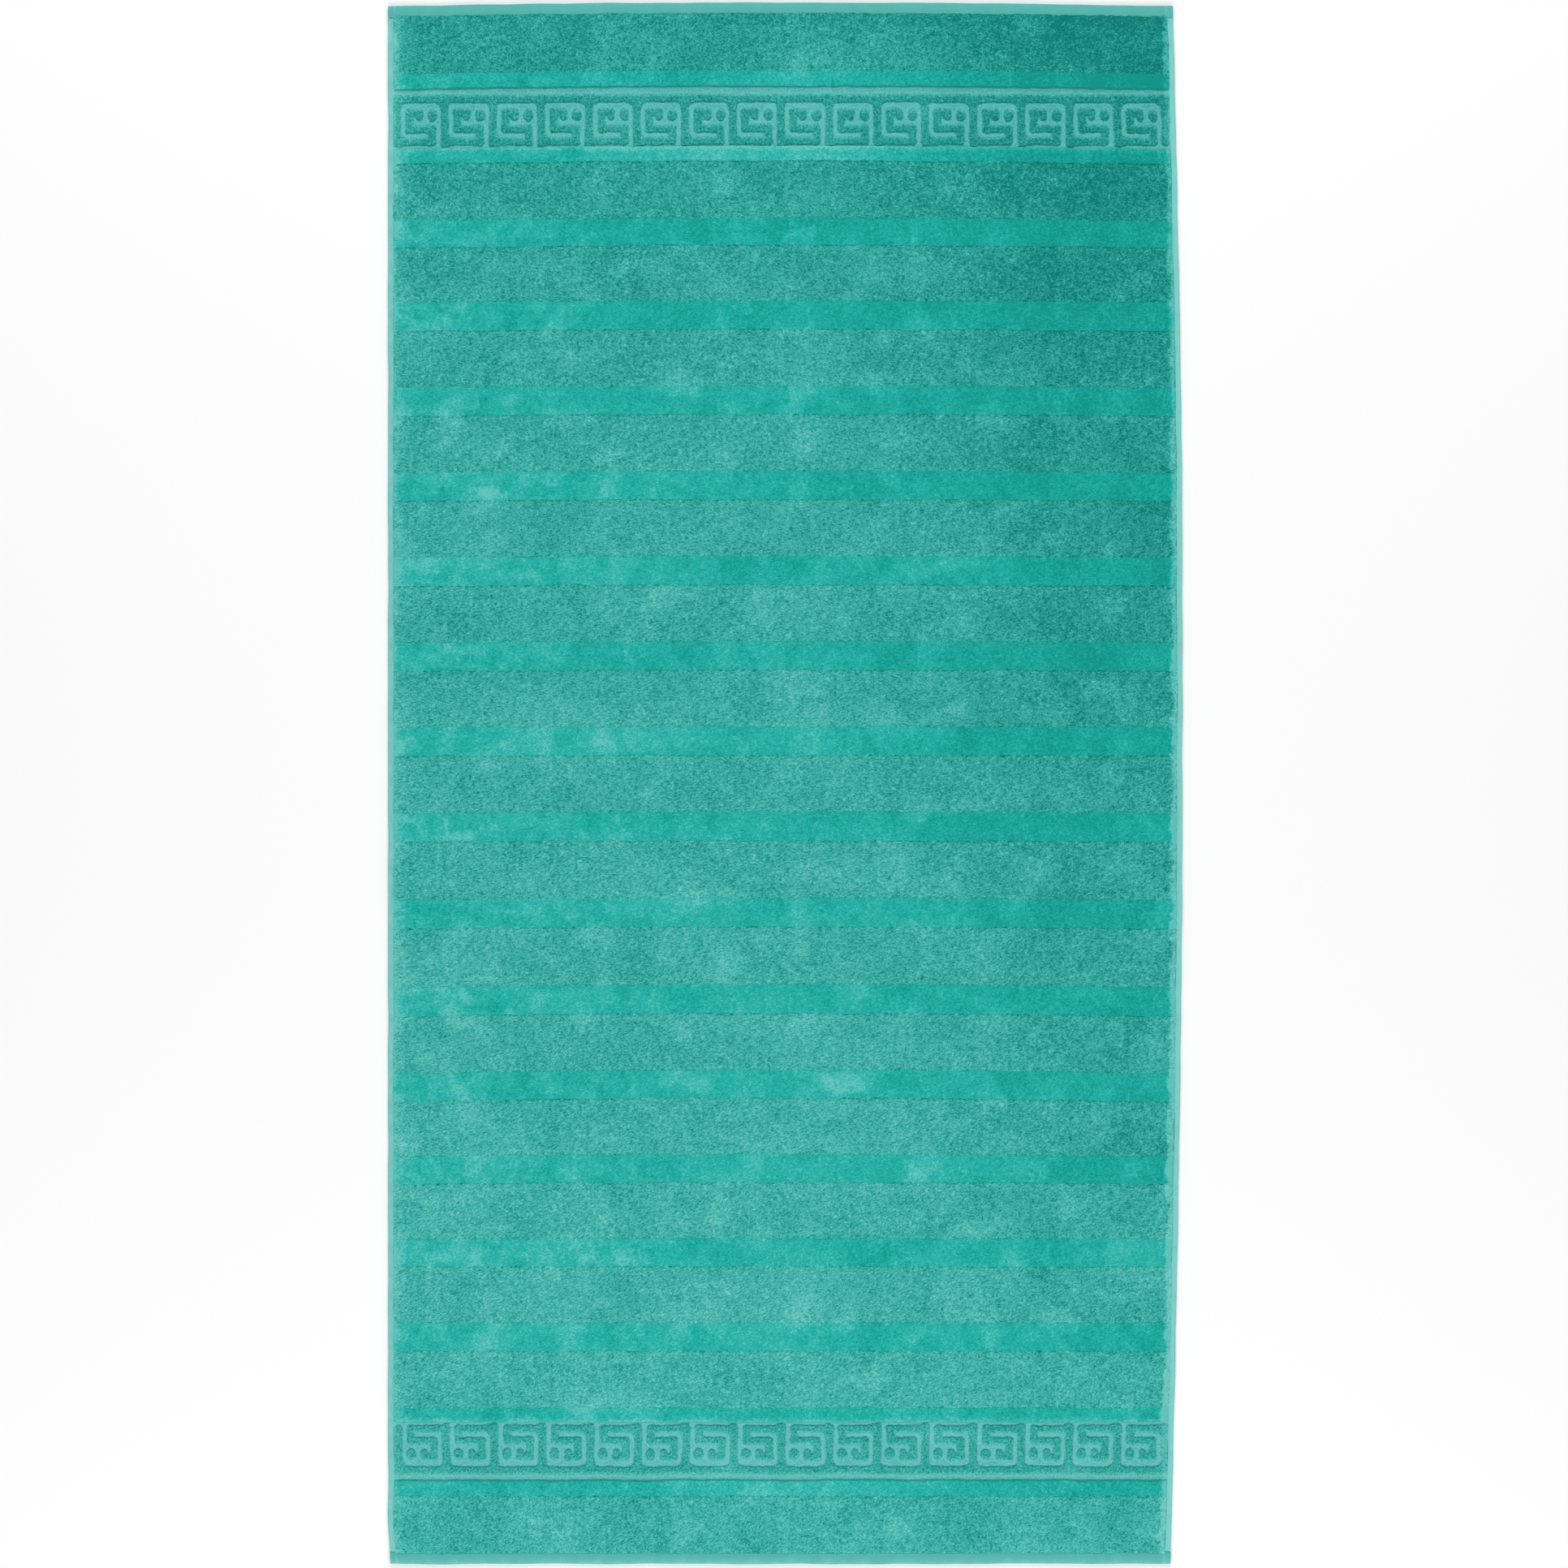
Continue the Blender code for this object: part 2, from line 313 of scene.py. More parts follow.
def woven(name, shades):
    """Flat woven cotton, with its crossings standing up from the cloth."""
    material = cotton(name, shades, grain=0.0009, mottle_and_dip_shade=0.35, relief=WEAVE_RELIEF, sheen=0.15)
    nodes = material.node_tree.nodes
    links = material.node_tree.links
    links.new(crossings(nodes, links), nodes["Bump"].inputs["Height"])
    return material


ground_low, ground_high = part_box("ground_cloth")
pile_half_width = -ground_low.x
GROUND_CELL = (0.008, 0.008)

x, y = cloth_grid((-pile_half_width, pile_half_width), (-ground_high.y, ground_high.y), GROUND_CELL)
woven_ground = make_layer(
    "woven_ground",
    x,
    y,
    np.full(x.shape, ground_high.z),
    np.full(x.shape, ground_low.z),
    woven("ground_weave", WEAVE_SHADES),
    {"shade": 0.5 + 0.1 * ruffle(x, y, 0.05, 6)},
    plain_foot=False,
)
fit(woven_ground, "ground_weave", "ground_cloth")


# The back pile: uncut terry loops of soft two-ply cotton, woven into the ground cloth. The towel lies on
# them, and they keep no pattern.

BACK_LOOP = 0.0019
BACK_CLUSTER = 0.0083
BACK_RELIEF = 0.0005
BACK_CELL = (0.0045, 0.0045)
BACK_SHADES = ((10, 118, 108), (32, 146, 137), (52, 165, 156), (86, 188, 180))

back_low, back_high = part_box("back_loop_pile")
x, y = cloth_grid((-pile_half_width, pile_half_width), (-back_high.y, back_high.y), BACK_CELL)
loops = ruffle(x, y, BACK_CLUSTER, 11)
# Painted shade: the loops' colour deepens where they sink back toward the cloth and pales where they hang
# out.
back_loops = make_layer(
    "back_loops",
    x,
    y,
    np.full(x.shape, back_high.z),
    back_low.z + BACK_RELIEF * (1 - loops),
    cotton("back_loops", BACK_SHADES, BACK_LOOP, mottle_and_dip_shade=1.5, relief=0.0009, sheen=0.2),
    {"shade": 0.5 + 0.15 * loops + 0.1 * ruffle(x, y, 0.06, 12)},
    plain_foot=False,
)
fit(back_loops, "back_pile", "back_loop_pile")


# The coarse bands: long, loosely twisted pile brushed into a shag. Each band is woven in with the ground
# cloth from hem to hem, and its tufts fall over the hems at both ends.

PILE_CELL = (0.0012, 0.00095)
TUFT_LENGTH = 0.0033
TUFT_WIDTH = 0.0011
TUFT_CURL = 0.0011
CURL_SIZES = (0.0052, 0.0047)
TUFT_RELIEF = 0.00065
TUFT_PAINTED_SHADE = 0.36
TUFT_CLUMP = 0.0075
EDGE_WOBBLE = 0.0005
WOBBLE_SIZE = 0.009
PILE_LEAN = 0.001
LEAN_REACH = 0.005
EDGE_SHADOW = 0.35
EDGE_SHADOW_WIDTH = 0.0011
HEM_SHADOW = 0.09
HEM_SHADOW_WIDTH = 0.016
BAND_GAP = 0.0003
HEM_SETTLE = 0.0003
COARSE_SHADES = ((8, 118, 108), (28, 144, 134), (54, 168, 160), (82, 184, 175), (116, 201, 193))

# How pile rounds off at an edge: over what distance, and by what share of its height.
BESIDE_PILE = (0.0001, 0.0)
BESIDE_BORDER = (0.0008, 0.2)
OVER_HEM = (0.0045, 0.8)

# The marks that hands leave in the pile: strokes that bend, patches from broad to small, smudges, folds
# pressed along the towel, whose pale lines are partly painted light, and the pale fringes at its two sides.
STROKE_BEND = 0.007
BEND_SIZES = (0.019, 0.017)
PATCH_SIZES = (0.075, 0.026, 0.0095)
SMUDGE_SIZE = 0.035
PRESSED_FOLDS = (-0.142, -0.119, 0.006)
FOLD_WIDTH = 0.0028
FOLD_BREAKS = 0.05
LEFT_FRINGE = 0.0055
RIGHT_FRINGE = 0.0045
RIGHT_FADE = 0.0038
RIGHT_REACH = 0.012

# The ways that strands can point, as angles in radians, each with the seed of its own hills.
STRAND_WAYS = ((-1.2, 25), (-0.6, 26), (0.0, 27), (0.6, 28), (1.2, 29))
WAY_REACH = 0.35

coarse_cotton = cotton("coarse_pile", COARSE_SHADES, 0.0011, mottle_and_dip_shade=1.8, relief=0.0005, sheen=0.2)
hem_inner_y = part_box("coarse_pile_band_01")[1].y + BAND_GAP / 2


def brushed(x, y):
    """The tufts' height from -1 to 1: short strands that lie the way the towel was last stroked."""
    curl = TUFT_CURL * (1 + 1.2 * ramp(x, 0.0, 0.25))
    bent_x = x + curl * ruffle(x, y, CURL_SIZES[0], 21)
    bent_y = y + curl * ruffle(x, y, CURL_SIZES[1], 22)
    slant = 0.9 * y / half_length + 0.5 * ruffle(x, y, 0.07, 23)
    slant += 1.1 * ramp(x, 0.05, 0.3) * ruffle(x, y, 0.03, 24)
    height = np.zeros(x.shape)
    total = np.zeros(x.shape)
    for turn, seed in STRAND_WAYS:
        weight = bell(slant, turn, WAY_REACH) + 0.02
        along = bent_x * math.cos(turn) - bent_y * math.sin(turn)
        across = bent_x * math.sin(turn) + bent_y * math.cos(turn)
        height += weight * ruffle(along / TUFT_LENGTH, across / TUFT_WIDTH, 1.0, seed)
        total += weight**2
    return height / np.sqrt(total)


def stroking_and_painted_light(x, y):
    """How pale the pile looks: patches, smudges, pressed folds, gathered edges, and painted light and
    sheen.
    """
    bent_x = x + STROKE_BEND * ruffle(x, y, BEND_SIZES[0], 30)
    bent_y = y + STROKE_BEND * ruffle(x, y, BEND_SIZES[1], 36)
    patches = 0.08 * ruffle(x, y, PATCH_SIZES[0], 31) + 0.08 * ruffle(bent_x, bent_y, PATCH_SIZES[1], 32)
    patches += 0.06 * ruffle(bent_x, bent_y, PATCH_SIZES[2], 33)
    smudges = 0.13 * ramp(ruffle(bent_x, 1.3 * bent_y, SMUDGE_SIZE, 37), 0.2, 0.8)
    # Painted light and sheen: paler toward the lower end and darker toward the right, most near the upper
    # end, and painted shade toward both ends.
    toward_foot = (half_length - y) / (2 * half_length)
    painted_light_drift = 0.16 * toward_foot - 0.06 - 0.23 * (1 - toward_foot**1.5) * ramp(x, 0.04, 0.3)
    painted_light_drift -= 0.085 * ramp(y, 0.3, 0.6) + 0.07 * ramp(-y, 0.45, 0.68)
    # Painted light in part: the pale lines along the pressed folds are the pile opened by each crease and
    # also light painted in for the fold's ridge.
    folds = np.zeros(x.shape)
    for fold_x in PRESSED_FOLDS:
        folds += bell(x, fold_x, FOLD_WIDTH) * np.maximum(0.0, ruffle(x, y, FOLD_BREAKS, 34))
    ragged = 0.7 * ruffle(bent_x, bent_y, 0.018, 35) + 0.5 * ruffle(bent_x, bent_y, 0.005, 38)
    from_left = np.maximum(0.0, pile_half_width + x)
    from_right = np.maximum(0.0, pile_half_width - x)
    left = np.exp(-from_left / LEFT_FRINGE) * (1 + ragged) * (1 + 0.8 * ramp(y, 0.45, 0.6))
    right = ramp((RIGHT_FRINGE - from_right) / RIGHT_FADE + 1.2 * ragged, -0.3, 0.6)
    right *= bell(from_right, 0.0, RIGHT_REACH)
    return patches + smudges + painted_light_drift + 0.12 * folds + 0.27 * left + 0.46 * right


def band_grid(low_y, high_y, cell):
    """A band's places, with the edges it shares with its neighbours wandering and its ends on the hems."""
    x, y = cloth_grid((-pile_half_width, pile_half_width), (low_y, high_y), cell)
    share = (y - low_y) / (high_y - low_y)
    low_edge = EDGE_WOBBLE * ruffle(x, np.full(x.shape, low_y), WOBBLE_SIZE, 41)
    high_edge = EDGE_WOBBLE * ruffle(x, np.full(x.shape, high_y), WOBBLE_SIZE, 41)
    tufts = 0.6 * ruffle(x, 0 * y, TUFT_LENGTH, 45)
    over_hem = PILE_LEAN * (1 + tufts + 0.4 * ruffle(x, 0 * y, 0.014, 46))
    if high_y == hem_inner_y:
        high_edge = over_hem
    if low_y == -hem_inner_y:
        low_edge = -over_hem
    y = y + low_edge * (1 - share) + high_edge * share
    side = np.clip((np.abs(x) - pile_half_width + LEAN_REACH) / LEAN_REACH, 0.0, 1.0)
    tufts = 0.5 * ruffle(np.sign(x), y, TUFT_LENGTH, 42)
    ragged = PILE_LEAN * (1 + tufts + 0.4 * ruffle(np.sign(x), y, 0.013, 43))
    return x + np.sign(x) * side * ragged, y, share * (high_y - low_y), (1 - share) * (high_y - low_y)


def rolled(x, from_low, from_high, low_edge=BESIDE_PILE, high_edge=BESIDE_PILE):
    """How much of its height a band has: it rounds off over each edge's reach, by that edge's drop."""
    height = np.ones(x.shape)
    from_side = pile_half_width + PILE_LEAN - np.abs(x)
    for inset, (reach, drop) in ((from_side, OVER_HEM), (from_low, low_edge), (from_high, high_edge)):
        height *= 1 - drop * (1 - ramp(inset, 0.0, reach))
    return height


# All strips of the face in their order from the upper end down, each with where it starts and ends.
face_strips = ["coarse_pile_band_01", "velour_band_01", "key_border_upper", "velour_band_02"]
for number in range(2, 17):
    face_strips.append(f"coarse_pile_band_{number:02d}")
    face_strips.append(f"velour_band_{number + 1:02d}")
face_strips += ["key_border_lower", "velour_band_18", "coarse_pile_band_17"]
strip_tops = [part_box(strip)[1].y + BAND_GAP / 2 for strip in face_strips] + [-hem_inner_y]
strip_places = {}
for strip, high_y, low_y in zip(face_strips, strip_tops, strip_tops[1:]):
    strip_places[strip] = (low_y, high_y)

for number in range(1, 18):
    node = f"coarse_pile_band_{number:02d}"
    foot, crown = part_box(node)[0].z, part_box(node)[1].z
    x, y, from_low, from_high = band_grid(*strip_places[node], PILE_CELL)
    tufts = brushed(x, y)
    low_edge = OVER_HEM if number == 17 else BESIDE_PILE
    high_edge = OVER_HEM if number == 1 else BESIDE_PILE
    height = rolled(x, from_low, from_high, low_edge, high_edge)
    settled = foot - HEM_SETTLE * (1 - height)
    top = settled + (crown - foot - 2 * TUFT_RELIEF) * height + TUFT_RELIEF * (1 + tufts) * np.sqrt(height)
    clumps = ruffle(x, 1.3 * y, TUFT_CLUMP, 47)
    # Painted shade: the colour deepens between the tufts and pales on their tips, with their height.
    shade = 0.5 + stroking_and_painted_light(x, y) + TUFT_PAINTED_SHADE * tufts + 0.1 * clumps
    if number == 1:
        shade -= HEM_SHADOW * bell(from_high, 0.0, HEM_SHADOW_WIDTH)
    else:
        broken = ramp(ruffle(x, y, 0.004, 44), -0.2, 0.4)
        shade -= EDGE_SHADOW * bell(from_high, 0.0, EDGE_SHADOW_WIDTH) * broken
    piece = make_layer(f"coarse_pile_{number:02d}", x, y, top, settled, coarse_cotton, {"shade": shade})
    fit(piece, "coarse_pile", node)


# The velour bands: pile woven in the same way but sheared short and dense, so it is smoother, deeper in
# colour, and shows every stroke of the hand.

VELOUR_RELIEF = 0.0002
VELOUR_GRAIN = 0.0035
STREAK_SIZES = (0.01, 0.026)
MOTTLE_SIZE = 0.014
PAINTED_LIGHT_MIDDLES = {1: 0.2, 2: 0.45, 18: 0.3}
PALE_REACH = 0.16
STRIP_SHADOW = 0.5
STRIP_SHADOW_WIDTH = 0.0006
FOOT_PAINTED_LIGHT = 0.35
FOOT_PAINTED_LIGHT_WIDTH = 0.0028
VELOUR_SHADES = ((13, 142, 130), (20, 158, 147), (33, 171, 161), (56, 178, 170), (96, 192, 184))

velour_cotton = cotton("velour_pile", VELOUR_SHADES, 0.0012, mottle_and_dip_shade=1.8, relief=0.00025, sheen=0.25)

for number in range(1, 19):
    node = f"velour_band_{number:02d}"
    foot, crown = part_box(node)[0].z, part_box(node)[1].z
    x, y, from_low, from_high = band_grid(*strip_places[node], PILE_CELL)
    nap = 0.6 * brushed(x, y) + 0.5 * ruffle(x, y, VELOUR_GRAIN, 51)
    low_edge = BESIDE_BORDER if number in (1, 17) else BESIDE_PILE
    high_edge = BESIDE_BORDER if number in (2, 18) else BESIDE_PILE
    height = rolled(x, from_low, from_high, low_edge, high_edge)
    settled = foot - HEM_SETTLE * (1 - height)
    top = settled + (crown - foot - 2 * VELOUR_RELIEF) * height + VELOUR_RELIEF * (1 + nap)
    streaks = 0.1 * ruffle(x + 0.4 * y, 0.5 * y, STREAK_SIZES[0], 52)
    streaks += 0.13 * ruffle(x - 0.3 * y, 0.4 * y, STREAK_SIZES[1], 53)
    streaks += 0.2 * ramp(-x, 0.0, 0.3) * ruffle(x, 1.5 * y, MOTTLE_SIZE, 54)
    # Painted light and shade: darker toward the lower end and at the upper right, and paler toward the
    # left, more in the upper half.
    shade = 0.42 + 1.8 * stroking_and_painted_light(x, y) - 0.1 * ramp(-y, 0.45, 0.65)
    shade = np.maximum(shade, 0.18 + 0.4 * shade)
    shade -= 0.15 * ramp(y, 0.55, 0.66) * ramp(x, 0.1, 0.3)
    # Painted shade: the colour deepens in the nap's dips and pales on its rises, with its height.
    shade += streaks + 0.38 * nap
    shade += (0.05 + 0.12 * ramp(y, -0.2, 0.2)) * ramp(-x, 0.0, 0.3)
    # Painted light: the narrow bands 1, 2 and 18, next to the borders, are paler along their middles.
    shade += PAINTED_LIGHT_MIDDLES.get(number, 0.0) * bell(x, 0.0, PALE_REACH)
    from_border = from_low if number in (1, 17) else from_high
    if number in (1, 18):
        shade -= STRIP_SHADOW * bell(from_border, 0.0, STRIP_SHADOW_WIDTH)
    # Painted light: bands 2 and 17 are paler along their edge next to the border's foot, the side that
    # faces the nearer end.
    if number in (2, 17):
        shade += FOOT_PAINTED_LIGHT * bell(from_border, 0.0, FOOT_PAINTED_LIGHT_WIDTH)
    piece = make_layer(f"velour_pile_{number:02d}", x, y, top, settled, velour_cotton, {"shade": shade})
    fit(piece, "velour", node)


# The borders: a flat woven strip across each end with a raised pile figure, a key meander with a dot in
# each unit under one straight line of pile. The lower border is the upper one turned half round.

KEY_CELL = (0.0007, 0.0007)
KEY_UNITS = 16
KEY_PITCH = 0.0434
FIRST_KEY_X = -0.3514
KEY_STROKE = 0.0034
KEY_ROUND = 0.0031
FRAME_FILLET = 0.0021
HOOK_FILLET = 0.0005

# One unit of the key: u runs across from its left edge and v runs in from the border's outer edge. Each
# value is the middle line of a bar of pile, but for the strip, which is given by its two edges.
STRIP_LINE = (0.0052, 0.0122)
POST_U = 0.0033
HOOK_U = 0.0146
HOOK_END_U = 0.0234
RIGHT_U = 0.0351
HOOK_V = 0.0208
HOOK_END_V = 0.0248
HOOK_END = 0.0032
MIDDLE_V = 0.0351
BOTTOM_V = 0.0459
DOT = (0.0354, 0.0233)
DOT_SIZE = (0.0043, 0.0052)

FIGURE_RAGGED = 0.0006
RAGGED_SIZES = (0.0017, 0.006)
UPPER_SLACK = 0.0017
SLACK_REACH = 0.33
FOOT_STRIPE = (0.0495, 0.0505)
BORDER_WEAVE = 0.0005
STRAND_ROOM = 0.0004
FIGURE_RELIEF = 0.0003
FIGURE_FIBRES = 0.0004
WALL = 0.0008

# Where painted shade and light change next to the figure's edge, the middle and the width of each zone,
# outward: a painted shadow on its walls that face the towel's middle, painted light on its walls that
# face the nearer end, and a painted highlight on the weave just outside it.
HOLLOW_SHADOW = (0.0001, 0.0005)
OUTER_SIDE_LIGHT = (-0.0008, 0.0012)
BESIDE_FIGURE_HIGHLIGHT = (0.0013, 0.0009)
TINT_EDGE = 0.0006

KEY_SHADES = ((8, 116, 104), (26, 142, 132), (47, 161, 151), (72, 178, 169), (100, 194, 186))


def bar(u, v, start, end, half):
    """Distance outside a straight bar of pile between two points, one of its axes being level."""
    centre_u = (start[0] + end[0]) / 2
    centre_v = (start[1] + end[1]) / 2
    reach_u = abs(end[0] - start[0]) / 2 + half - KEY_ROUND
    reach_v = abs(end[1] - start[1]) / 2 + half - KEY_ROUND
    over_u = np.abs(u - centre_u) - reach_u
    over_v = np.abs(v - centre_v) - reach_v
    outside = np.hypot(np.maximum(over_u, 0.0), np.maximum(over_v, 0.0))
    return outside + np.minimum(np.maximum(over_u, over_v), 0.0) - KEY_ROUND


def joined(fillet, *distances):
    """The union of several shapes, with its inner corners filled by about the fillet."""
    total = sum(np.exp(-distance / fillet) for distance in distances)
    return -fillet * np.log(total + 1e-30)


def key_figure(u, v):
    """Distance outside the border's raised figure, u across from its first unit and v in from its edge."""
    strip = np.abs(v - sum(STRIP_LINE) / 2) - (STRIP_LINE[1] - STRIP_LINE[0]) / 2
    unit = np.floor(u / KEY_PITCH)
    in_unit = u - unit * KEY_PITCH
    present = unit < KEY_UNITS
    nearest_post = np.minimum(in_unit, np.abs(in_unit - KEY_PITCH - POST_U) + POST_U)
    post = bar(nearest_post, v, (POST_U, STRIP_LINE[1]), (POST_U, BOTTOM_V), KEY_STROKE)
    foot = bar(in_unit, v, (POST_U, BOTTOM_V), (RIGHT_U, BOTTOM_V), KEY_STROKE)
    hook = joined(
        HOOK_FILLET,
        bar(in_unit, v, (RIGHT_U, BOTTOM_V), (RIGHT_U, MIDDLE_V), KEY_STROKE),
        bar(in_unit, v, (RIGHT_U, MIDDLE_V), (HOOK_U, MIDDLE_V), KEY_STROKE),
        bar(in_unit, v, (HOOK_U, MIDDLE_V), (HOOK_U, HOOK_V), KEY_STROKE),
        bar(in_unit, v, (HOOK_U, HOOK_V), (HOOK_END_U, HOOK_V), KEY_STROKE),
        np.hypot(in_unit - HOOK_END_U, v - HOOK_END_V) - HOOK_END,
    )
    dot = np.hypot((in_unit - DOT[0]) / DOT_SIZE[0], (v - DOT[1]) / DOT_SIZE[1]) - 1
    frame_bars = joined(FRAME_FILLET, strip, post, np.where(present, foot, 1.0))
    inside = np.minimum(hook, dot * DOT_SIZE[0])
    return joined(HOOK_FILLET, frame_bars, np.where(present, inside, 1.0))


def border_cotton():
    """Flat weave where the cloth shows and cut pile where the figure stands, told apart by its mesh."""
    material = cotton("key_border", KEY_SHADES, 0.001, mottle_and_dip_shade=1.9, relief=FIGURE_FIBRES, sheen=0.2)
    nodes = material.node_tree.nodes
    links = material.node_tree.links
    pile_colour = nodes["Color Ramp"]
    weave_colour = wire(nodes, "ShaderNodeValToRGB")
    run_dyes(weave_colour, WEAVE_SHADES)
    links.new(pile_colour.inputs["Fac"].links[0].from_socket, weave_colour.inputs["Fac"])
    figure = wire(nodes, "ShaderNodeAttribute", attribute_name="figure")
    colours = wire(nodes, "ShaderNodeMix", data_type="RGBA")
    first, second = [socket for socket in colours.inputs if socket.type == "RGBA"]
    mixed = [socket for socket in colours.outputs if socket.type == "RGBA"][0]
    links.new(figure.outputs["Fac"], colours.inputs["Factor"])
    links.new(weave_colour.outputs["Color"], first)
    links.new(pile_colour.outputs["Color"], second)
    links.new(mixed, nodes["Principled BSDF"].inputs["Base Color"])
    flat = wire(nodes, "ShaderNodeMath", operation="MULTIPLY")
    flat.inputs[1].default_value = WEAVE_RELIEF / FIGURE_FIBRES
    links.new(crossings(nodes, links), flat.inputs[0])
    heights = wire(nodes, "ShaderNodeMix")
    links.new(figure.outputs["Fac"], heights.inputs["Factor"])
    links.new(flat.outputs[0], heights.inputs["A"])
    links.new(nodes["Noise Texture"].outputs["Fac"], heights.inputs["B"])
    links.new(heights.outputs["Result"], nodes["Bump"].inputs["Height"])
    return material


key_border = border_cotton()
for word, turn in (("upper", 1), ("lower", -1)):
    node = f"key_border_{word}"
    foot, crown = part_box(node)[0].z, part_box(node)[1].z
    weave_top = foot + BORDER_WEAVE
    low_y, high_y = strip_places[node]
    outer_y = high_y if turn > 0 else -low_y
    x, y, from_low, from_high = band_grid(low_y, high_y, KEY_CELL)
    slack = UPPER_SLACK * (1 - (x / SLACK_REACH) ** 2) if turn > 0 else 0.0
    u = turn * x - FIRST_KEY_X
    v = outer_y - turn * y - slack
    ragged = FIGURE_RAGGED * (ruffle(x, y, RAGGED_SIZES[0], 61) + ruffle(x, y, RAGGED_SIZES[1], 62))
    distance = key_figure(u, v) + ragged
    inward = np.gradient(distance, axis=0) / np.gradient(y, axis=0) * -turn
    wall = WALL - WALL / 2 * np.clip(inward, -1.0, 1.0)
    figure = ramp(-distance, -wall, wall)
    tint = ramp(-distance, -TINT_EDGE, wall)
    strands = brushed(x * 1.25, y * 1.25)
    height = rolled(x, from_low, from_high)
    settled = foot - HEM_SETTLE * (1 - height)
    pile = crown - weave_top - STRAND_ROOM + FIGURE_RELIEF * strands
    raised = weave_top - foot + pile * figure
    top = settled + raised * height
    # Painted shadow along the figure's walls that face the towel's middle.
    hollow_shadow = bell(distance, *HOLLOW_SHADOW) * np.clip(inward, 0.0, 1.0)
    # Painted light along the figure's walls that face the nearer end.
    outer_side_light = bell(distance, *OUTER_SIDE_LIGHT) * np.clip(-inward, 0.0, 1.0)
    # Painted light on the weave in the trench at the border's foot.
    foot_stripe_light = ramp(v, *FOOT_STRIPE)
    # A painted highlight on the weave just outside the figure's edge.
    beside_highlight = bell(distance, *BESIDE_FIGURE_HIGHLIGHT)
    # Painted shade: the figure's colour deepens between its strands and pales on their tips.
    shade = 0.5 + 0.7 * stroking_and_painted_light(x, y) + 0.42 * tint * strands - 0.6 * hollow_shadow + 0.3 * tint * outer_side_light
    shade += (0.05 + 0.2 * foot_stripe_light + 0.25 * beside_highlight) * (1 - tint) - 0.03 * tint
    marks = {"shade": shade, "figure": tint}
    piece = make_layer(f"border_{word}", x, y, top, settled, key_border, marks)
    fit(piece, "key_border", node)


# The hems: the plain woven edges of the cloth folded twice to the back and stitched down, the long sides
# first and then the two ends over them.

HEM_SHADES = ((50, 152, 140), (74, 172, 162), (92, 180, 174), (126, 205, 200))
FOLD_GAP = 0.00035
PUCKER = 0.00012
STITCH = 0.003
SEAM_REACH = 0.0035
SIDE_RIDGE_LIGHT = 0.0008
SWELL_SIZE = 0.013
HEM_MOTTLE = 0.011
HEM_STEP = 0.0012
hem_top = ground_high.z
cloth_thickness = ground_high.z - ground_low.z
side_hem_width = half_width - pile_half_width - BAND_GAP
end_hem_width = half_length - hem_inner_y
hem_weave = woven("hem_weave", HEM_SHADES)


def arc(centre, radius, start, end, steps):
    """Points along an arc with its outward directions, the angles in degrees."""
    found = []
    for angle in np.radians(np.linspace(start, end, steps + 1)):
        normal = (math.cos(angle), math.sin(angle))
        found.append(((centre[0] + radius * normal[0], centre[1] + radius * normal[1]), normal))
    return found


def double_fold(width):
    """The hem's section: along the face, round the edge, back underneath, and tucked in once more."""
    middle = hem_top - cloth_thickness / 2
    step = cloth_thickness + FOLD_GAP
    edge = (width - step - cloth_thickness / 2, middle - step)
    tuck = ((step + cloth_thickness) / 2, middle - 1.5 * step)
    line = [((width * share, middle), (0.0, 1.0)) for share in (0.0, 0.12, 0.24, 0.4, 0.55)]
    line += arc(edge, step, 90, -90, 10)
    line += arc(tuck, step / 2, 270, 90, 6)
    line.append(((edge[0] + step / 2, edge[1]), (0.0, 1.0)))
    half = cloth_thickness / 2
    outside = [(point[0] + half * way[0], point[1] + half * way[1]) for point, way in line]
    inside = [(point[0] - half * way[0], point[1] - half * way[1]) for point, way in line]
    return np.array(outside + inside[::-1])


def tube(rings):
    """Faces round a tube from a table of point numbers, one ring of points to a row, and its two ends."""
    after = np.roll(rings, -1, axis=1)
    walls = np.stack((rings[:-1], after[:-1], after[1:], rings[1:]), axis=-1).reshape(-1, 4)
    return [walls, rings[0][None, ::-1], rings[-1][None, :]]


def sweep(name, section, stations, place, material, seed):
    """A closed body with the section repeated at every station."""
    count = len(section)
    across = np.tile(section[:, 0], (len(stations), 1))
    height = np.tile(section[:, 1], (len(stations), 1))
    along = np.repeat(stations[:, None], count, axis=1)
    points, shade = place(along, across, height, seed)
    faces = tube(np.arange(along.size).reshape(along.shape))
    return make_piece(name, points.reshape(-1, 3), faces, material, {"shade": shade})


def pucker(along, across, slow):
    """How far the stitching lifts a hem: a small wave at every stitch near the seam, and slow swells."""
    near_seam = ramp(SEAM_REACH - across, 0.0, SEAM_REACH)
    stitch_wave = near_seam * (1 + np.sin(2 * math.pi * along / STITCH)) / 2
    return PUCKER * (stitch_wave + 1 + ruffle(along, slow, SWELL_SIZE, 72))


def side_place(side):
    """Puts a long edge's hem in place: along is y, and across runs outward from the pile."""

    def place(along, across, height, seed):
        x = side * (half_width - side_hem_width + across)
        laid_x, laid_y = lie(x, along)
        lift = cockle(x, along) + pucker(along, across, x)
        points = np.stack((laid_x, laid_y, height + lift), axis=-1)
        return points, 0.95 + 0.05 * side + 0.1 * ruffle(along, across, HEM_MOTTLE, seed)

    return place


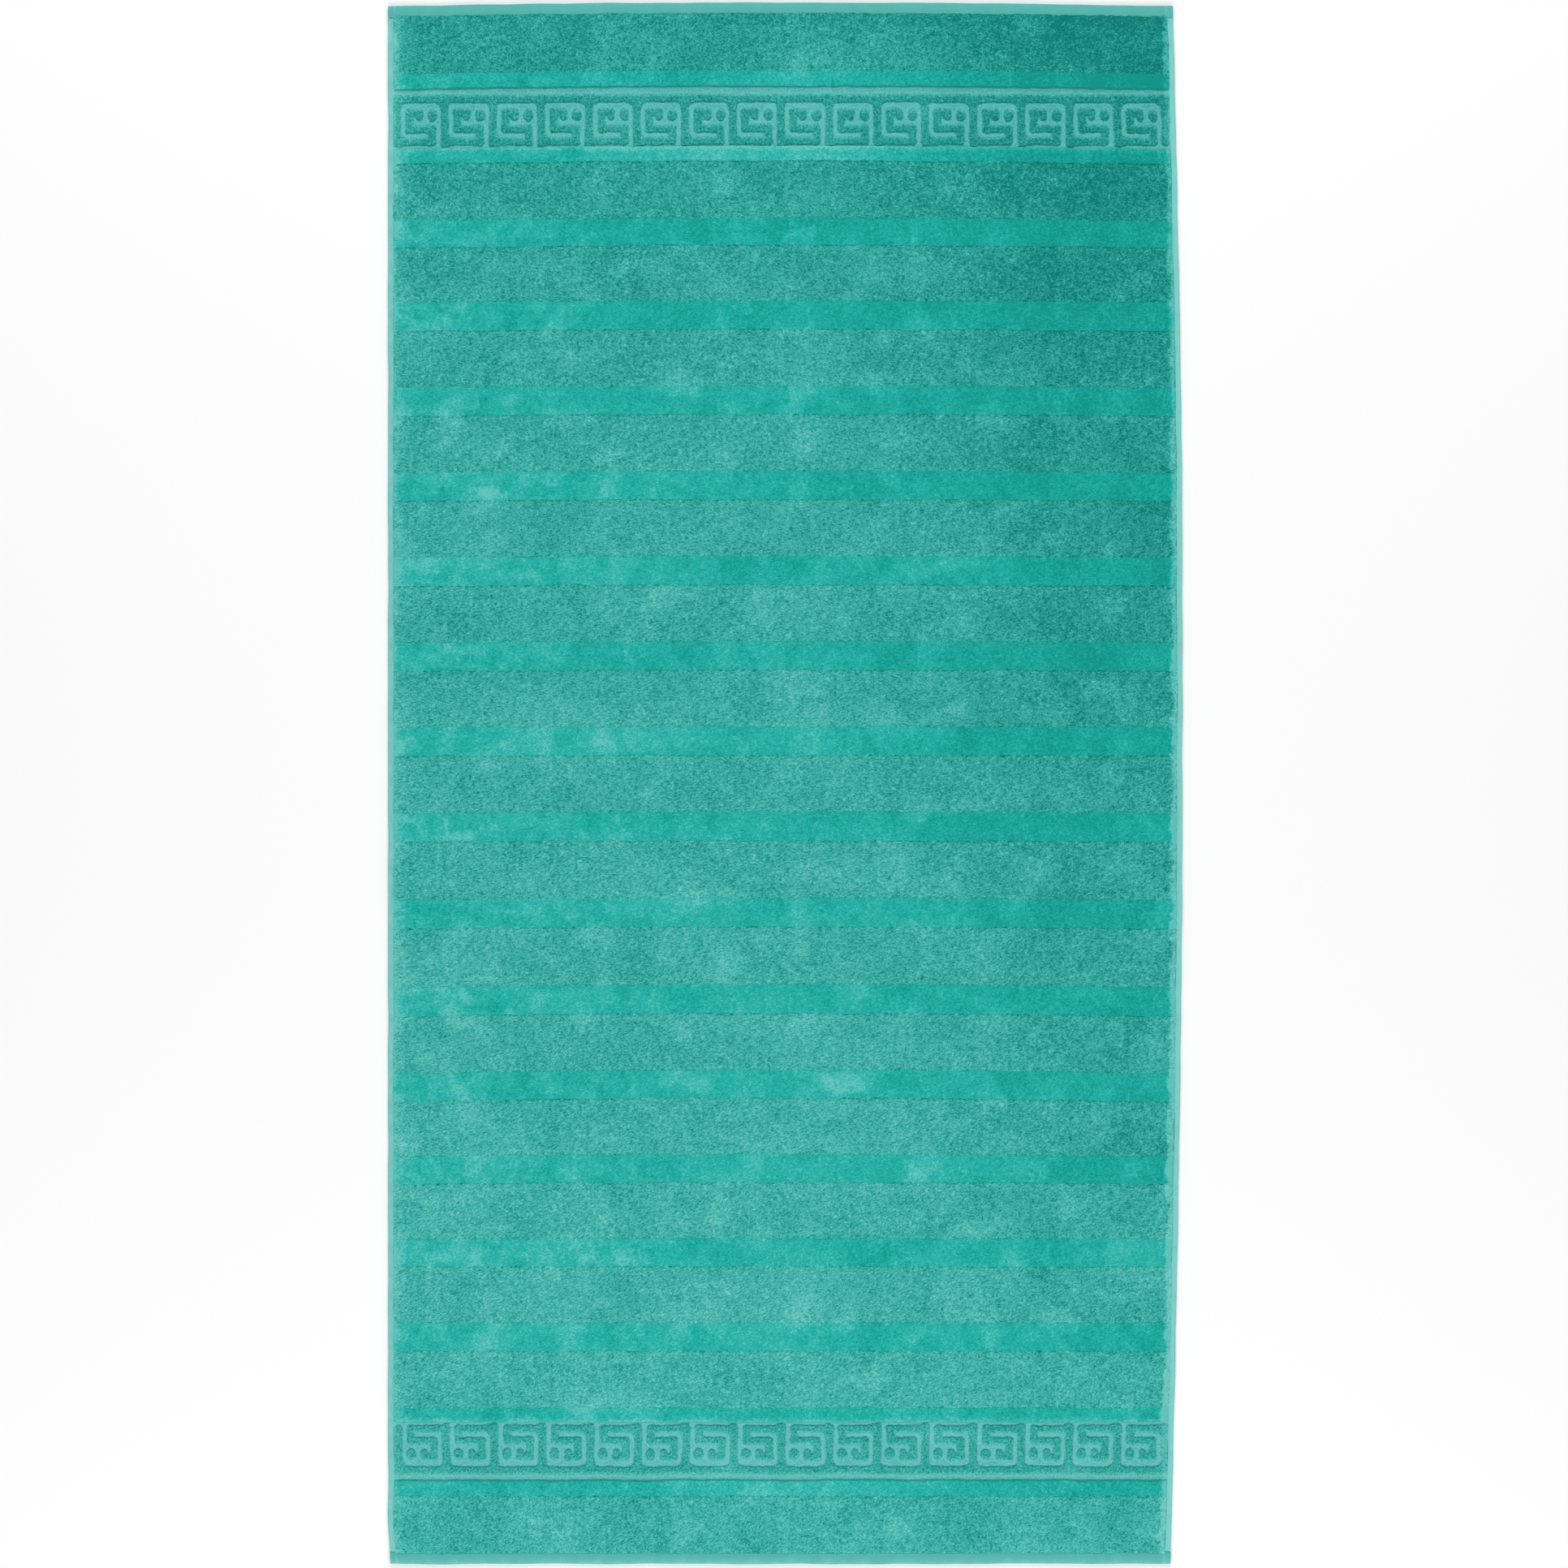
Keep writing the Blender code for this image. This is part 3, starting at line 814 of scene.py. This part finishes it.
def end_place(end):
    """Puts a short edge's hem in place: along is x, and across runs outward from the pile."""

    def place(along, across, height, seed):
        y = end * (half_length - end_hem_width + across)
        laid_x, laid_y = lie(along, y)
        lift = cockle(along, y) + pucker(along, across, y)
        points = np.stack((laid_x, laid_y, height + lift), axis=-1)
        pale = 0.45 + (0.2 if end > 0 else 0.35) * ramp(across, 0.0, end_hem_width)
        # Painted light: a pale line where the side hem's inner edge runs under the end hem, for the light
        # on its ridge.
        side_ridge_light = bell(np.abs(along), half_width - side_hem_width, SIDE_RIDGE_LIGHT)
        return points, pale + 0.2 * side_ridge_light + 0.1 * ruffle(along, across, HEM_MOTTLE, seed)

    return place


side_end = hem_inner_y - BAND_GAP
for word, side in (("left", -1), ("right", 1)):
    stations = np.arange(-side_end, side_end, HEM_STEP)
    section = double_fold(side_hem_width)
    piece = sweep(f"side_fold_{word}", section, stations * -side, side_place(side), hem_weave, 74)
    fit(piece, "hem_weave", f"side_hem_{word}")
for word, end in (("upper", 1), ("lower", -1)):
    stations = np.linspace(-half_width, half_width, int(2 * half_width / HEM_STEP) + 1)
    section = double_fold(end_hem_width)
    piece = sweep(f"end_fold_{word}", section, stations * end, end_place(end), hem_weave, 75)
    fit(piece, "hem_weave", f"end_hem_{word}")


# The seams: one lockstitch row along each hem, the needle thread on the face and the bobbin thread on
# the back, both of spun polyester dyed to match.

THREAD_SHADES = ((88, 180, 172), (108, 197, 190), (126, 210, 204))
SEAM_INSET = 0.0018
SUNK_THREAD = 0.00008
STATIONS_PER_STITCH = 5
THREAD_SIDES = 6
seam_thread = cotton("seam_thread", THREAD_SHADES, 0.0006, mottle_and_dip_shade=0.5, relief=0.00004, sheen=0.1)


def stitches(name, reach, place, diameter, height, way, seed):
    """A row of stitches: the thread rises out of the cloth, lies along it and dives at each needle hole."""
    stations = np.linspace(-reach, reach, int(2 * reach / STITCH) * STATIONS_PER_STITCH + 1)
    angles = np.radians(np.arange(THREAD_SIDES) * 360 / THREAD_SIDES)
    across = SEAM_INSET + diameter / 2 * np.tile(np.cos(angles), (len(stations), 1))
    along = np.repeat(stations[:, None], THREAD_SIDES, axis=1)
    arch = np.sqrt(np.abs(np.sin(math.pi * along / STITCH)))
    thickness = diameter / 2 * (0.5 + 0.5 * arch) * np.sin(angles)
    level = height + way * diameter * 0.5 * (arch - 1) + thickness
    points, shade = place(along, across, level, seed)
    faces = tube(np.arange(along.size).reshape(along.shape))
    return make_piece(name, points.reshape(-1, 3), faces, seam_thread, {"shade": shade})


for kind, way in (("needle", 1), ("bobbin", -1)):
    for word, reach, place in (
        ("left", side_end, side_place(-1)),
        ("right", side_end, side_place(1)),
        ("upper", pile_half_width, end_place(1)),
        ("lower", pile_half_width, end_place(-1)),
    ):
        node = f"{kind}_thread_{word}"
        thread_low, thread_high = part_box(node)
        diameter = thread_high.z - thread_low.z
        middle = hem_top + SUNK_THREAD if way > 0 else (thread_low.z + thread_high.z) / 2
        piece = stitches(f"{kind}_stitches_{word}", reach, place, diameter, middle, way, 76)
        fit(piece, "sewing_thread", node)


# The room: a plain pale floor, soft light from above and from beyond both ends, and a camera straight
# overhead.

FLOOR_SIZE = 8.0
FLOOR_WHITE = 0.93
ROOM_LIGHT = 0.5
LAMP_SIZE = (3.0, 1.4)
LAMP_POWER = 64.0
LAMP_HEIGHT = 2.0
LAMP_Y = 2.8
LAMP_TILT = math.radians(54)
CAMERA_SPOT = (-0.0012, -0.0007)
CAMERA_HEIGHT = 4.0
FRAME_WIDTH = 1.4045
SENSOR = 36.0

floor_mesh = bpy.data.meshes.new("floor")
reach = FLOOR_SIZE / 2
floor_corners = [(-reach, -reach, 0.0), (reach, -reach, 0.0), (reach, reach, 0.0), (-reach, reach, 0.0)]
floor_mesh.from_pydata(floor_corners, [], [(0, 1, 2, 3)])
floor = bpy.data.objects.new("floor", floor_mesh)
bpy.context.scene.collection.objects.link(floor)
floor_paint = bpy.data.materials.new("floor_paint")
floor_paint.use_nodes = True
floor_shader = floor_paint.node_tree.nodes["Principled BSDF"]
floor_shader.inputs["Base Color"].default_value = (FLOOR_WHITE, FLOOR_WHITE, FLOOR_WHITE, 1.0)
floor_shader.inputs["Roughness"].default_value = 0.9
floor_shader.inputs["Specular IOR Level"].default_value = 0.1
floor_mesh.materials.append(floor_paint)

world = bpy.data.worlds.new("room")
world.use_nodes = True
world.node_tree.nodes["Background"].inputs["Color"].default_value = (1.0, 1.0, 1.0, 1.0)
world.node_tree.nodes["Background"].inputs["Strength"].default_value = ROOM_LIGHT
bpy.context.scene.world = world

for name, end in (("lamp_upper", 1), ("lamp_lower", -1)):
    lamp_data = bpy.data.lights.new(name, "AREA")
    lamp_data.shape = "RECTANGLE"
    lamp_data.size, lamp_data.size_y = LAMP_SIZE
    lamp_data.energy = LAMP_POWER
    lamp = bpy.data.objects.new(name, lamp_data)
    lamp.location = (0.0, end * LAMP_Y, LAMP_HEIGHT)
    lamp.rotation_euler = (-end * LAMP_TILT, 0.0, 0.0)
    bpy.context.scene.collection.objects.link(lamp)

camera_data = bpy.data.cameras.new("camera")
camera_data.sensor_width = SENSOR
camera_data.lens = SENSOR * (CAMERA_HEIGHT - cad_high.z) / FRAME_WIDTH
camera = bpy.data.objects.new("camera", camera_data)
camera.location = (*CAMERA_SPOT, CAMERA_HEIGHT)
bpy.context.scene.collection.objects.link(camera)
bpy.context.scene.camera = camera
bpy.context.scene.view_settings.view_transform = "Standard"
